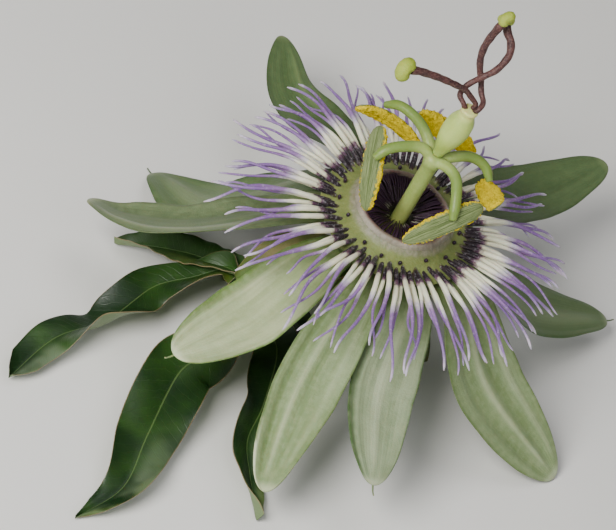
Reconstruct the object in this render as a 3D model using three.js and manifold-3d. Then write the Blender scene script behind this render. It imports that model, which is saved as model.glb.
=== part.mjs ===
// Blue passion flower, picked with a short piece of its vine and one leaf, and laid down.
// Millimetres, +Z up. The origin is on the surface it lies on, under the middle of its footprint.
import * as THREE from "three";
import { mergeVertices } from "three/addons/utils/BufferGeometryUtils.js";
import Module from "manifold-3d";

const wasm = await Module();
wasm.setup();

// ---------------------------------------------------------------- driving dimensions
// Everything is laid out round the flower's own centre, which is on its axis at the height
// where the corona spreads. These three numbers put that centre above the surface.
const FLOWER_CENTRE = [1.27, 7.4, 27];
const FLOOR = -FLOWER_CENTRE[2];
const TEPAL_THICKNESS = 0.7;
const LEAF_THICKNESS = 0.7;
const SEAT_GAP = 0.3;

// The cup that carries the flower
const CUP_BOTTOM = -9.5;
const CUP_RIM = -1.7;
const CUP_RADIUS = 9.35;
const NECTARY_FLOOR = -5.2;

// The corona: a ring on the cup's rim with two ranks of long filaments
const RING_INNER = 8.3;
const RING_OUTER = 10.2;
const RING_FLANGE = 12.2;
const RING_TOP = 0.35;
const FILAMENTS_IN_RANK = 30;
const FILAMENT_ROOT = 9.7;
const FILAMENT_REACH = 28.2;
const PEG_COUNT = 16;

// The inner corona: a low wall round the nectary with a fringe that leans inwards
const WALL_OUTER = 8.0;
const WALL_INNER = 6.3;
const WALL_TOP = 2.3;
const FRINGE_COUNT = 36;

// The column, the ovary on it and the stamens round it
const COLUMN_RADIUS = 1.35;
const HUB_HEIGHT = 13.9;
const OVARY_FOOT = [0.1, 0.1, 14.9];
const OVARY_TOP = [0.95, 0.6, 25.25];

// ---------------------------------------------------------------- where each piece goes
// Petals are the upper rank and sepals the lower one. A bearing is the compass angle, from +X
// towards +Y, at which the piece leaves the cup. Its middle and tip are [x, y, z] from the
// flower's centre. Its form is [width of its foot, place where it is widest, place where its end
// starts to round], as shares. A roll above 0 lifts its left edge, as it runs out from the flower.
const PETALS = [
  {
    bearing: 129, middle: [-22.7, 23.3, -12.2], tip: [-30, 36.8, -14], width: 9,
    form: [0.79, 0.87, 0.3], roll: [0, -23, 0],
  },
  {
    bearing: 201, middle: [-26.6, -12.8, -11], tip: [-43.6, -14.7, -18], width: 10.5,
    form: [0.56, 0.5, 0.44], roll: [0, 17, 20],
  },
  {
    bearing: 273, middle: [0.6, -28, -12.1], tip: [2.7, -44.8, -19], width: 10.2,
    form: [0.48, 0.5, 0.44], roll: [0, 2, 32],
  },
  {
    bearing: 345, middle: [23.9, -8.6, -13.2], tip: [40.8, -5.4, -26.6], width: 12.9,
    form: [0.84, 0.42, 0.3], roll: [0, 22, 22],
  },
  {
    bearing: 57, middle: [16.8, 30.3, -10.3], tip: [24.8, 45.7, -11], width: 10.9,
    form: [0.62, 0.44, 0.39], roll: [0, 4, 4],
  },
];
const SEPALS = [
  {
    bearing: 168, middle: [-25, -0.2, -18.3], tip: [-36.4, 8.1, -26.5], width: 12,
    form: [0.46, 0.5, 0.41], roll: [0, -10, 14],
  },
  {
    bearing: 237, middle: [-12, -25.3, -9.4], tip: [-18.7, -37.6, -11], width: 11.7,
    form: [0.52, 0.5, 0.5], roll: [0, 8, -3],
  },
  {
    bearing: 309, middle: [10.6, -23.5, -11.8], tip: [16.2, -35.6, -16], width: 10.4,
    form: [0.56, 0.56, 0.45], roll: [0, 3, -3],
  },
  {
    bearing: 21, middle: [24.3, 13, -16.1], tip: [37, 27, -23], width: 9.8,
    form: [0.52, 0.55, 0.34], roll: [0, 16, 5],
  },
  {
    bearing: 93, middle: [-0.8, 25, -15], tip: [-1.6, 35.8, -26.2], width: 10,
    form: [0.66, 0.5, 0.62], roll: [0, 0, 0],
  },
];

// Stamens: the path of each stalk from the hub, then the two ends of its anther and the way
// that the pollen side of the anther looks. It bends sideways and arches away from that side.
const STAMENS = [
  {
    stalk: [[-2.3, -0.3, 14.6], [-4.8, -2, 14.6], [-6.7, -3.5, 13.8], [-7.7, -4.9, 12.3]],
    anther: [[-9.4, 1, 13.1], [-4.9, -10.1, 7.1]],
    facing: [0.5, 0.55, -0.65],
    bend: 0.1, arch: 0.5,
  },
  {
    stalk: [[2.8, -0.9, 14], [5.5, -2.6, 13.7], [7.2, -4.9, 12.9], [7.9, -6.5, 11.9]],
    anther: [[2, -11.9, 7.2], [9.8, -1.8, 12]],
    facing: [-0.1, 0.75, -0.65],
    bend: 0, arch: 0.5,
  },
  {
    stalk: [[2.8, 2.2, 14.3], [4.9, 3.6, 14.4], [7.2, 4.1, 13.6], [8.9, 3.2, 12.3]],
    anther: [[11.7, -2.5, 14], [8, 6.6, 8]],
    facing: [-0.6, -0.3, 0.6],
    bend: 0, arch: 0.5,
  },
  {
    stalk: [[-2.6, 2.6, 14.5], [-5.4, 4.6, 14.7], [-8.3, 5.7, 14.2], [-10.3, 6, 12.6]],
    anther: [[-13.9, 3, 12.9], [-2.9, 8.2, 7.3]],
    facing: [0, -0.97, -0.25],
    bend: 0, arch: 1.3,
  },
  {
    stalk: [[-0.3, 3.4, 14.4], [-0.4, 6.4, 14.3], [-0.3, 8.9, 13.4], [-0.2, 10.5, 12]],
    anther: [[-5.4, 8.3, 12.5], [5, 12.3, 7.6]],
    facing: [0, -0.7, 0.7],
    bend: -0.3, arch: 0.5,
  },
];

// The three styles cross over each other above the ovary. Each ends behind its stigma.
const STYLES = [
  {
    path: [[1.2, 1.3, 25.95], [-0.1, 1.1, 27], [-1.2, 0.6, 28], [-2.9, -0.6, 29],
      [-5.3, -2.1, 30], [-7.1, -3.3, 30.6], [-8.4, -4.2, 31]],
    stigma: [-10.2, -5.6, 31.2],
    stretch: [0.1, 0.6, 1],
    size: 3.9,
  },
  {
    path: [[-0.5, 0.3, 25.9], [-1.4, 0.8, 26.3], [-1.6, 1.6, 26.8], [-1.3, 2.1, 27.6],
      [-0.7, 2.6, 28.6], [0.2, 3.1, 29.9], [1.2, 4.1, 31], [1.7, 5.4, 32], [1.8, 6.7, 33],
      [1.1, 8.1, 33.8], [0, 8.9, 34.4]],
    stigma: [-1.1, 9.9, 35.5],
    stretch: [1, 0.2, 0.3],
    size: 2.6,
  },
  {
    path: [[2, 0.7, 25.9], [2, 2.1, 26.3], [1, 3.3, 26.8], [0.1, 4.7, 27.6],
      [-0.9, 5.2, 29], [-1.6, 5.6, 30.6], [-1.9, 6.1, 32.4], [-1.8, 6.7, 34],
      [-1.6, 6.9, 35.4], [-1.5, 6.9, 36.2]],
    stigma: [-1.1, 7.6, 37.7],
    stretch: [0.4, 0.6, 0.8],
    size: 2.8,
  },
];

// The vine lies on the surface under the flower. The leaf and the flower leave it at its node.
const VINE_RADIUS = 1.5;
const VINE = [[-19, -3.4, -25.8], [-12, 0.6, -25.8], [-6, 4, -25.8], [2, 8.6, -25.8], [11, 13, -25.8]];
const PEDICEL = [[-6, 4, -25.5], [-1, 8.2, -23.6], [3.6, 7.4, -19.8], [2.8, 3, -15.2],
  [0.2, 0.2, -12.2], [0, 0, -9.9]];
const PETIOLE = [[-6, 4, -25.4], [-8.6, -1.6, -23.2], [-11.8, -7.4, -19.2], [-13.8, -11, -16.7]];
const BRACTS = [
  { bearing: 221, droop: 0, reach: 1 },
  { bearing: 341, droop: 7, reach: 0.62 },
  { bearing: 101, droop: 4, reach: 0.8 },
];

// Leaf lobes: the path of the midrib from the palm to the tip
const PALM = [-14.4, -12.5, -15];
const LOBES = [
  {
    path: [PALM, [-18.2, -10.8, -17.2], [-22.2, -13.4, -20], [-26.9, -17.4, -22.4],
      [-30, -26.4, -24], [-35.4, -33.8, -25.2], [-38.1, -44, -26.3]],
    width: 7.5, roll: [0, 24, -3, 52, 2, 0], waves: 2, swell: 0.6, taper: 0.82,
  },
  {
    path: [PALM, [-14.6, -18, -18.6], [-15, -24.4, -21.4], [-16.9, -29.6, -23],
      [-16.2, -42, -24.4], [-15.4, -52, -25.7], [-19.1, -60.7, -26.8]],
    width: 10.5, roll: [0, -3, 4, 7], waves: 2.8, swell: 1.1, taper: 0.885,
  },
  {
    path: [PALM, [-11.4, -14.4, -18.8], [-6, -15.8, -22], [-3.7, -24.8, -24.4],
      [-3.2, -31.8, -25.4], [-0.4, -37, -26], [4, -43.6, -26.6]],
    width: 8, roll: [-2, 12, -23, -13], waves: 2.1, swell: 0.9, taper: 0.88,
  },
  {
    path: [PALM, [-20.7, -10.2, -18.4], [-24.5, -8.6, -21], [-29.9, -8.2, -24], [-35.6, -9.4, -26.2]],
    width: 6.6, roll: [0, 0], waves: 1.5, swell: 0.5, taper: 0.88, rows: 9,
  },
  {
    path: [PALM, [-10.4, -10.6, -18.2], [-5.6, -9.2, -21.8], [-0.4, -9.2, -25], [5, -9.6, -26.4]],
    width: 7, roll: [0, 0], waves: 1.5, swell: 0.4, taper: 0.88, rows: 9,
  },
];

// ---------------------------------------------------------------- small helpers
const UP = new THREE.Vector3(0, 0, 1);

function point(values) {
  return new THREE.Vector3(values[0], values[1], values[2]);
}

function spline(points) {
  return new THREE.CatmullRomCurve3(points.map(point), false, "catmullrom", 0.5);
}

// A repeatable draw from -1 to 1
let drawState = 20011;
function draw() {
  drawState = (Math.imul(drawState, 1664525) + 1013904223) >>> 0;
  return drawState / 2147483648 - 1;
}

function smooth(value) {
  const clipped = Math.min(1, Math.max(0, value));
  return clipped * clipped * (3 - 2 * clipped);
}

// The value at place u, from 0 to 1, of a row of evenly spaced values with smooth turns
function along(values, u) {
  const place = Math.min(0.999999, Math.max(0, u)) * (values.length - 1);
  const index = Math.floor(place);
  return THREE.MathUtils.lerp(values[index], values[index + 1], smooth(place - index));
}

function fromBearing(degrees, radius, height) {
  const angle = THREE.MathUtils.degToRad(degrees);
  return [radius * Math.cos(angle), radius * Math.sin(angle), height];
}

// A closed body from vertices and triangles, with its faces turned outwards
function body(vertices, triangles) {
  let volume = 0;
  for (const [a, b, c] of triangles) {
    volume += vertices[a].dot(new THREE.Vector3().crossVectors(vertices[b], vertices[c]));
  }
  const order = volume > 0 ? triangles : triangles.map(([a, b, c]) => [a, c, b]);
  const geometry = new THREE.BufferGeometry();
  const places = vertices.flatMap((vertex) => vertex.toArray());
  geometry.setAttribute("position", new THREE.Float32BufferAttribute(places, 3));
  geometry.setIndex(order.flat());
  return geometry;
}

// Two grids of points, one for each face, closed round their edge. Both are split alike.
function slab(upper, lower) {
  const rows = upper.length;
  const columns = upper[0].length;
  const vertices = [...upper.flat(), ...lower.flat()];
  const shift = rows * columns;
  const at = (row, column) => row * columns + column;
  const triangles = [];
  for (let row = 0; row + 1 < rows; row += 1) {
    for (let column = 0; column + 1 < columns; column += 1) {
      const [a, b] = [at(row, column), at(row, column + 1)];
      const [c, d] = [at(row + 1, column + 1), at(row + 1, column)];
      const [under, across, beyond, beside] = [a, b, c, d].map((corner) => corner + shift);
      triangles.push([a, b, c], [a, c, d], [under, beyond, across], [under, beside, beyond]);
    }
  }
  const edge = [];
  for (let column = 0; column < columns; column += 1) edge.push(at(0, column));
  for (let row = 1; row < rows; row += 1) edge.push(at(row, columns - 1));
  for (let column = columns - 2; column >= 0; column -= 1) edge.push(at(rows - 1, column));
  for (let row = rows - 2; row > 0; row -= 1) edge.push(at(row, 0));
  edge.forEach((a, index) => {
    const b = edge[(index + 1) % edge.length];
    triangles.push([a, a + shift, b + shift], [a, b + shift, b]);
  });
  return body(vertices, triangles);
}

// A thin blade along a path. halfWidth(u) is its half width, rise(u, x) how far the face
// stands off the path at x from -1 to 1 across it, and roll its turn along the way.
function blade({ path, halfWidth, rise, roll, thickness, rows, columns }) {
  const curve = spline(path);
  const run = curve.getPointAt(1).sub(curve.getPointAt(0));
  const across = new THREE.Vector3().crossVectors(run, UP).normalize();
  const upper = [];
  const lower = [];
  for (let row = 0; row <= rows; row += 1) {
    const s = row / rows;
    const u = s * (1.45 - 0.45 * s);
    const centre = curve.getPointAt(u);
    const forward = curve.getTangentAt(u);
    const side = across.clone().addScaledVector(forward, -across.dot(forward)).normalize();
    side.applyAxisAngle(forward, THREE.MathUtils.degToRad(along(roll, u)));
    const normal = new THREE.Vector3().crossVectors(side, forward);
    const spread = halfWidth(u);
    const rowUpper = [];
    const rowLower = [];
    for (let column = 0; column <= columns; column += 1) {
      const x = (2 * column) / columns - 1;
      const middle = centre.clone().addScaledVector(side, spread * x).addScaledVector(normal, rise(u, x));
      rowUpper.push(middle.clone().addScaledVector(normal, thickness / 2));
      rowLower.push(middle.clone().addScaledVector(normal, -thickness / 2));
    }
    upper.push(rowUpper);
    lower.push(rowLower);
  }
  return slab(upper, lower);
}

// A round rod along a path, with radius(u) and flat ends
function rod({ path, radius, sides, steps }) {
  const curve = spline(path);
  const frames = curve.computeFrenetFrames(steps, false);
  const vertices = [];
  for (let step = 0; step <= steps; step += 1) {
    const centre = curve.getPointAt(step / steps);
    for (let side = 0; side < sides; side += 1) {
      const angle = (2 * Math.PI * side) / sides;
      const reach = radius(step / steps);
      vertices.push(centre.clone()
        .addScaledVector(frames.normals[step], reach * Math.cos(angle))
        .addScaledVector(frames.binormals[step], reach * Math.sin(angle)));
    }
  }
  return ringed(vertices, sides);
}

// Closes rings of vertices, one after another, into a body with a flat face at both ends
function ringed(vertices, sides) {
  const triangles = [];
  const last = vertices.length - sides;
  for (let start = 0; start < last; start += sides) {
    for (let side = 0; side < sides; side += 1) {
      const [a, b] = [start + side, start + ((side + 1) % sides)];
      triangles.push([a, b, b + sides], [a, b + sides, a + sides]);
    }
  }
  for (let side = 1; side + 1 < sides; side += 1) {
    triangles.push([0, side + 1, side], [last, last + side, last + side + 1]);
  }
  return body(vertices, triangles);
}

// A turned piece: [radius, height] points round +Z, starting and ending on the axis or closed
function turned(profile, segments) {
  const points = profile.map(([radius, height]) => new THREE.Vector2(radius, height));
  const lathe = new THREE.LatheGeometry(points, segments);
  lathe.rotateX(Math.PI / 2);
  return bare(lathe);
}

// Only places and triangles, with shared vertices merged and no triangle without area
function bare(geometry) {
  geometry.deleteAttribute("normal");
  geometry.deleteAttribute("uv");
  const merged = mergeVertices(geometry, 1e-4);
  const place = merged.getAttribute("position");
  const vertices = [];
  for (let index = 0; index < place.count; index += 1) {
    vertices.push(new THREE.Vector3().fromBufferAttribute(place, index));
  }
  const corners = merged.getIndex().array;
  const triangles = [];
  for (let index = 0; index < corners.length; index += 3) {
    const [a, b, c] = corners.slice(index, index + 3);
    if (a !== b && b !== c && c !== a) triangles.push([a, b, c]);
  }
  return body(vertices, triangles);
}

function toSolid(geometry) {
  const vertProperties = new Float32Array(geometry.getAttribute("position").array);
  const triVerts = new Uint32Array(geometry.getIndex().array);
  return new wasm.Manifold(new wasm.Mesh({ numProp: 3, vertProperties, triVerts }));
}

function toGeometry(solid) {
  const { vertProperties, triVerts } = solid.getMesh();
  const geometry = new THREE.BufferGeometry();
  geometry.setAttribute("position", new THREE.BufferAttribute(new Float32Array(vertProperties), 3));
  geometry.setIndex(new THREE.BufferAttribute(new Uint32Array(triVerts), 1));
  return geometry;
}

function fuse(geometries) {
  return toGeometry(geometries.map(toSolid).reduce((whole, piece) => whole.add(piece)));
}

// Takes off what would reach below the surface, which leaves a small flat spot to rest on
function restOnSurface(geometry) {
  const ground = new THREE.BoxGeometry(200, 200, 20);
  ground.translate(0, 0, FLOOR - 10);
  return toGeometry(toSolid(geometry).subtract(toSolid(bare(ground))));
}

const flower = new THREE.Group();
flower.position.set(...FLOWER_CENTRE);

function add(name, geometry, colour, roughness) {
  const material = new THREE.MeshStandardMaterial({ color: colour, roughness, metalness: 0 });
  const mesh = new THREE.Mesh(geometry, material);
  mesh.name = name;
  flower.add(mesh);
}

// ---------------------------------------------------------------- petals and sepals
// Half width of a strap that swells from its foot, with a rounded end from u = start on
function strap(u, half, foot, swell, start) {
  const shoulder = foot + (1 - foot) * Math.sin((Math.PI / 2) * Math.min(1, u / swell));
  const end = Math.max(0, (u - start) / (1 - start));
  return half * shoulder * Math.sqrt(1 - 0.97 * end * end);
}

function tepalPath({ bearing, middle, tip }, seat) {
  const start = fromBearing(bearing, CUP_RADIUS + SEAT_GAP + 0.15, seat);
  const middleBearing = THREE.MathUtils.radToDeg(Math.atan2(middle[1], middle[0]));
  const turn = ((middleBearing - bearing + 540) % 360) - 180;
  const inner = fromBearing(bearing + 0.3 * turn, 14.5, seat - 0.7);
  return [start, inner, middle, tip];
}

// A tepal is a strap with its edges lifted by cup
function tepal(path, { width, form, roll }, cup) {
  const half = width / 2;
  const halfWidth = (u) => strap(u, half, ...form);
  return blade({
    path,
    halfWidth,
    rise: (u, x) => cup * smooth(u * 2) * x * x * (halfWidth(u) / half) ** 2,
    roll,
    thickness: TEPAL_THICKNESS,
    rows: 12,
    columns: 4,
  });
}

function petal(shape) {
  return tepal(tepalPath(shape, -2.8), shape, 1);
}

// A sepal carries a short awn on the back of its tip
function sepal(shape) {
  const path = tepalPath(shape, -4.5);
  const curve = spline(path);
  const forward = curve.getTangentAt(1);
  const root = curve.getPointAt(0.97).addScaledVector(UP, -0.2);
  const bend = root.clone().addScaledVector(forward, 1.6).addScaledVector(UP, 0.1);
  const end = bend.clone().addScaledVector(forward, 1.2).addScaledVector(UP, 0.5);
  const awn = rod({
    path: [root.toArray(), bend.toArray(), end.toArray()],
    radius: (u) => 0.42 - 0.24 * u,
    sides: 4,
    steps: 3,
  });
  return fuse([tepal(path, shape, 1.2), awn]);
}

PETALS.forEach((shape, index) => {
  add(`petal_${index + 1}`, restOnSurface(petal(shape)), "#b9c4a4", 0.6);
});
SEPALS.forEach((shape, index) => {
  add(`sepal_${index + 1}`, restOnSurface(sepal(shape)), "#9fb088", 0.6);
});

// ---------------------------------------------------------------- cup, corona and inner corona
function floralCup() {
  return turned([
    [0, CUP_BOTTOM], [2, CUP_BOTTOM], [5.6, -8.3], [8.2, -6.4], [CUP_RADIUS, -4.2],
    [CUP_RADIUS, CUP_RIM], [7.6, CUP_RIM], [7.2, -3.6], [5.4, NECTARY_FLOOR], [0, NECTARY_FLOOR],
  ], 24);
}

// One long filament. Its height and sway are formulas of u, from 0 at its root to 1 at its tip.
function coronaFilament(bearing, root, lift, reach, sway, phase) {
  const angle = THREE.MathUtils.degToRad(bearing);
  const outward = new THREE.Vector3(Math.cos(angle), Math.sin(angle), 0);
  const sideways = new THREE.Vector3(-Math.sin(angle), Math.cos(angle), 0);
  const steps = 7;
  const vertices = [];
  for (let step = 0; step <= steps; step += 1) {
    const u = step / steps;
    const distance = THREE.MathUtils.lerp(FILAMENT_ROOT, reach, u);
    const height = root + lift * Math.sin(2.4 * u) - 3.2 * u * u;
    const shift = sway * u ** 3 + 0.5 * u * Math.sin(8 * u + phase);
    const centre = outward.clone().multiplyScalar(distance)
      .addScaledVector(sideways, shift)
      .setZ(height + 0.4 * u * Math.cos(8 * u + phase));
    const thick = along([0.38, 0.46, 0.42, 0.32, 0.26, 0.2], u);
    for (const turn of [90, 210, 330]) {
      const spin = THREE.MathUtils.degToRad(turn);
      vertices.push(centre.clone()
        .addScaledVector(sideways, thick * Math.cos(spin))
        .setZ(centre.z + thick * Math.sin(spin)));
    }
  }
  return ringed(vertices, 3);
}

// A short dark peg that stands on the ring
function peg(bearing, radius, lean) {
  return rod({
    path: [fromBearing(bearing, radius, RING_TOP - 0.6), fromBearing(bearing, radius + lean, RING_TOP + 0.7)],
    radius: (u) => 0.2 + 0.08 * u,
    sides: 3,
    steps: 1,
  });
}

function corona() {
  const ring = turned([
    [RING_INNER, CUP_RIM + SEAT_GAP], [RING_OUTER, CUP_RIM + SEAT_GAP], [RING_FLANGE, -1],
    [RING_FLANGE, -0.55], [RING_OUTER, 0.15], [9.2, RING_TOP], [RING_INNER, 0.1],
    [RING_INNER, CUP_RIM + SEAT_GAP],
  ], 40);
  const pieces = [ring];
  for (let index = 0; index < FILAMENTS_IN_RANK; index += 1) {
    const bearing = (360 * index) / FILAMENTS_IN_RANK;
    const half = 180 / FILAMENTS_IN_RANK;
    pieces.push(coronaFilament(bearing + 1.2 * draw(), -0.45, 1.5,
      FILAMENT_REACH + 2 * draw(), 2.2 * draw(), 3 * draw()));
    pieces.push(coronaFilament(bearing + half + 1.2 * draw(), -0.2, 2.6,
      FILAMENT_REACH - 0.8 + 2 * draw(), 2.2 * draw(), 3 * draw()));
  }
  for (let index = 0; index < PEG_COUNT; index += 1) {
    pieces.push(peg((360 * index) / PEG_COUNT + 7 * draw(), 9.3 + 0.5 * draw(), 0.3));
  }
  return fuse(pieces);
}

function innerCorona() {
  const wall = turned([
    [WALL_INNER + 0.7, CUP_RIM + SEAT_GAP], [WALL_OUTER, CUP_RIM + SEAT_GAP], [WALL_OUTER, 0.5],
    [7.5, 1.8], [6.9, WALL_TOP], [WALL_INNER, 1.7], [WALL_INNER + 0.7, CUP_RIM + SEAT_GAP],
  ], 32);
  const pieces = [wall];
  for (let index = 0; index < FRINGE_COUNT; index += 1) {
    const bearing = (360 * index) / FRINGE_COUNT + draw();
    pieces.push(rod({
      path: [
        fromBearing(bearing, WALL_INNER + 0.5, 1.3),
        fromBearing(bearing, 5, 1.5),
        fromBearing(bearing + 3 * draw(), 2.4 + 0.2 * draw(), 0.2),
      ],
      radius: (u) => 0.26 - 0.14 * u,
      sides: 3,
      steps: 2,
    }));
  }
  return fuse(pieces);
}

add("floral_cup", floralCup(), "#9aa878", 0.6);
add("corona", corona(), "#b9b4cf", 0.55);
add("inner_corona", innerCorona(), "#b7bd95", 0.6);

// ---------------------------------------------------------------- column, stamens and ovary
function column() {
  const foot = NECTARY_FLOOR + SEAT_GAP;
  const shaft = turned([
    [0, foot], [2.6, foot], [2.2, foot + 0.9], [COLUMN_RADIUS + 0.1, foot + 2.4],
    [COLUMN_RADIUS, 6], [COLUMN_RADIUS, 11.5], [1.6, 13], [1.5, HUB_HEIGHT], [0.8, 14.5], [0, 14.5],
  ], 14);
  const stalks = STAMENS.map(({ stalk }) => rod({
    path: [[0, 0, HUB_HEIGHT - 0.6], ...stalk],
    radius: (u) => 0.92 - 0.37 * u * u,
    sides: 5,
    steps: 8,
  }));
  return fuse([shaft, ...stalks]);
}

function anther({ anther: ends, facing, bend, arch }) {
  const [from, to] = ends.map(point);
  const forward = to.clone().sub(from).normalize();
  const normal = point(facing);
  normal.addScaledVector(forward, -normal.dot(forward)).normalize();
  const side = new THREE.Vector3().crossVectors(forward, normal);
  const upper = [];
  const lower = [];
  const rows = 8;
  for (let row = 0; row <= rows; row += 1) {
    const u = row / rows;
    const bow = 4 * u * (1 - u) - 0.5;
    const centre = from.clone().lerp(to, u)
      .addScaledVector(normal, -arch * bow).addScaledVector(side, bend * bow);
    const half = 1.6 * Math.sqrt(1 - 0.9 * (2 * u - 1) ** 4);
    const thick = 0.65 * Math.sqrt(1 - 0.7 * (2 * u - 1) ** 4);
    const place = (x, height) => centre.clone()
      .addScaledVector(side, half * x).addScaledVector(normal, height);
    const groove = [-0.5, 0.6, 0.15, 0.6, -0.5];
    upper.push([-1, -0.6, 0, 0.6, 1].map((x, column) => place(x, thick * (0.5 + groove[column]))));
    lower.push([-1, -0.6, 0, 0.6, 1].map((x) => place(x, -thick * (0.4 + 0.6 * (1 - x * x)))));
  }
  return slab(upper, lower);
}

function ovary() {
  const profile = [
    [0, 0.85], [0.08, 0.95], [0.2, 1.35], [0.36, 1.85], [0.55, 2.1], [0.72, 1.95], [0.86, 1.35],
    [0.9, 1.15], [0.93, 1.25], [0.97, 1.38], [1, 1.2],
  ];
  const [foot, top] = [point(OVARY_FOOT), point(OVARY_TOP)];
  const sides = 14;
  const vertices = profile.flatMap(([place, radius]) => {
    const centre = foot.clone().lerp(top, place);
    return Array.from({ length: sides }, (_, side) => {
      const angle = (2 * Math.PI * side) / sides;
      return centre.clone().add(new THREE.Vector3(radius * Math.cos(angle), radius * Math.sin(angle), 0));
    });
  });
  return ringed(vertices, sides);
}

add("column", column(), "#a3b57a", 0.5);
STAMENS.forEach((shape, index) => {
  add(`anther_${index + 1}`, anther(shape), "#c9b640", 0.8);
});
add("ovary", ovary(), "#c3cf92", 0.45);

// ---------------------------------------------------------------- styles and stigmas
// A style thickens from its foot to the stigma
function style({ path }) {
  return rod({ path, radius: (u) => 0.42 + 0.24 * u, sides: 6, steps: path.length + 5 });
}

// A stigma is a kidney: an egg with a bend across its end
function stigma({ stigma: centre, stretch, size }) {
  const egg = new THREE.SphereGeometry(size / 2, 12, 8);
  egg.scale(0.78, 1, 0.7);
  const turn = new THREE.Quaternion().setFromUnitVectors(
    new THREE.Vector3(0, 1, 0), point(stretch).normalize());
  egg.applyQuaternion(turn);
  egg.translate(...centre);
  return bare(egg);
}

STYLES.forEach((shape, index) => {
  add(`style_${index + 1}`, style(shape), "#8a6a70", 0.6);
});
STYLES.forEach((shape, index) => {
  add(`stigma_${index + 1}`, stigma(shape), "#bccb78", 0.5);
});

// ---------------------------------------------------------------- bracts, stem and leaf
function bract({ bearing, droop, reach }) {
  return blade({
    path: [
      fromBearing(bearing - 4, 1.7, -11), fromBearing(bearing - 2, 7 * reach, -10.4 - 0.25 * droop),
      fromBearing(bearing, 13.5 * reach, -9.8 - 0.7 * droop),
      fromBearing(bearing + 3, 20 * reach, -11.2 - droop),
      fromBearing(bearing + 4, 23.4 * reach, -12.6 - 1.2 * droop),
    ],
    halfWidth: (u) => 5 * Math.max(0.12, Math.sin(Math.PI * Math.pow(u, 0.85) * 0.96)) ** 0.8,
    rise: (u, x) => 0.8 * x * x,
    roll: [0, 0],
    thickness: TEPAL_THICKNESS,
    rows: 8,
    columns: 4,
  });
}

function stem() {
  const straight = { sides: 7, steps: 12 };
  const nodeSwelling = (u) => 0.5 * Math.exp(-(((u - 0.43) / 0.05) ** 2));
  const vine = rod({ path: VINE, radius: (u) => VINE_RADIUS + nodeSwelling(u), ...straight });
  const pedicel = rod({ path: PEDICEL, radius: () => 1.2, ...straight });
  const petiole = rod({ path: PETIOLE, radius: () => 0.85, sides: 6, steps: 10 });
  return restOnSurface(fuse([vine, pedicel, petiole]));
}

function lobe({ path, width, roll, waves, swell, taper, rows = 13 }) {
  return blade({
    path,
    halfWidth: (u) => (width / 2) * Math.max(0.06, Math.sin(Math.PI * (0.1 + taper * u))) ** 0.85,
    rise: (u, x) => 1.4 * Math.abs(x) + swell * x * x * Math.sin(2 * Math.PI * waves * u + (x > 0 ? 1 : 0)),
    roll,
    thickness: LEAF_THICKNESS,
    rows,
    columns: 4,
  });
}

function leaf() {
  return restOnSurface(fuse(LOBES.map(lobe)));
}

BRACTS.forEach((shape, index) => {
  add(`bract_${index + 1}`, bract(shape), "#7f8a62", 0.6);
});
add("stem", stem(), "#7b8b52", 0.6);
add("leaf", leaf(), "#3f5a36", 0.4);

export default flower;
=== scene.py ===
# Passion flower: fine form and finish of a picked bloom with one leaf and a piece of its vine.
# Sizes are millimetres from the flower's centre, where the corona spreads; place() makes metres.
import math

import bmesh
import bpy
import numpy as np
from mathutils import Matrix, Vector, noise


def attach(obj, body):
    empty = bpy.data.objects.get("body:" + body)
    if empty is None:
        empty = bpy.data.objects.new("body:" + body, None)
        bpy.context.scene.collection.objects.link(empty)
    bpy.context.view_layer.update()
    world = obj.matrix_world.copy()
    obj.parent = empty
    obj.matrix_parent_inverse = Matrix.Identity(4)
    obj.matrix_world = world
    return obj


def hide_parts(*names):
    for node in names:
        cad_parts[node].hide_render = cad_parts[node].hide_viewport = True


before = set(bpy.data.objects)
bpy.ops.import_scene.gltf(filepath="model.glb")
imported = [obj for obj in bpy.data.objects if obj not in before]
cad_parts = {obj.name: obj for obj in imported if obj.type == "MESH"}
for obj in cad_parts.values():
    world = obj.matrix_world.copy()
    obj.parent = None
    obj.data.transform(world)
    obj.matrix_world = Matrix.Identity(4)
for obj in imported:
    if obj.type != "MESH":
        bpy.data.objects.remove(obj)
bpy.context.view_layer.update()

# ---- driving sizes, millimetres
FLOWER_CENTRE = np.array([1.27, 7.4, 27.0])
FLOOR = -FLOWER_CENTRE[2]
UP = np.array([0.0, 0.0, 1.0])
SEAT_GAP = 0.3
PETAL_SEAT = -2.8
SEPAL_SEAT = -4.5
TEPAL_THICKNESS = 0.6
LEAF_THICKNESS = 0.5

CUP_BOTTOM = -9.5
CUP_RIM = -1.7
CUP_RADIUS = 9.35
NECTARY_FLOOR = -5.2

RING_INNER = 8.3
RING_OUTER = 10.2
RING_FLANGE = 12.2
RING_TOP = 0.35
FILAMENTS_IN_RANK = 30
FILAMENT_ROOT = 9.7
FILAMENT_REACH = 28.2
PEG_COUNT = 16
# A rank is [offset as a share of the step, height of the root, rise of the arch, how much shorter]
FILAMENT_RANKS = [[0, -0.45, 1.5, 0], [0.5, -0.2, 2.6, 0.8]]

WALL_OUTER = 8.0
WALL_INNER = 6.3
WALL_TOP = 2.3
FRINGE_COUNT = 108

COLUMN_RADIUS = 1.35
COLUMN_WAIST = 1.22
HUB_HEIGHT = 13.9
OVARY_FOOT = [0.1, 0.1, 14.9]
OVARY_TOP = [0.95, 0.6, 25.25]

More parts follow.
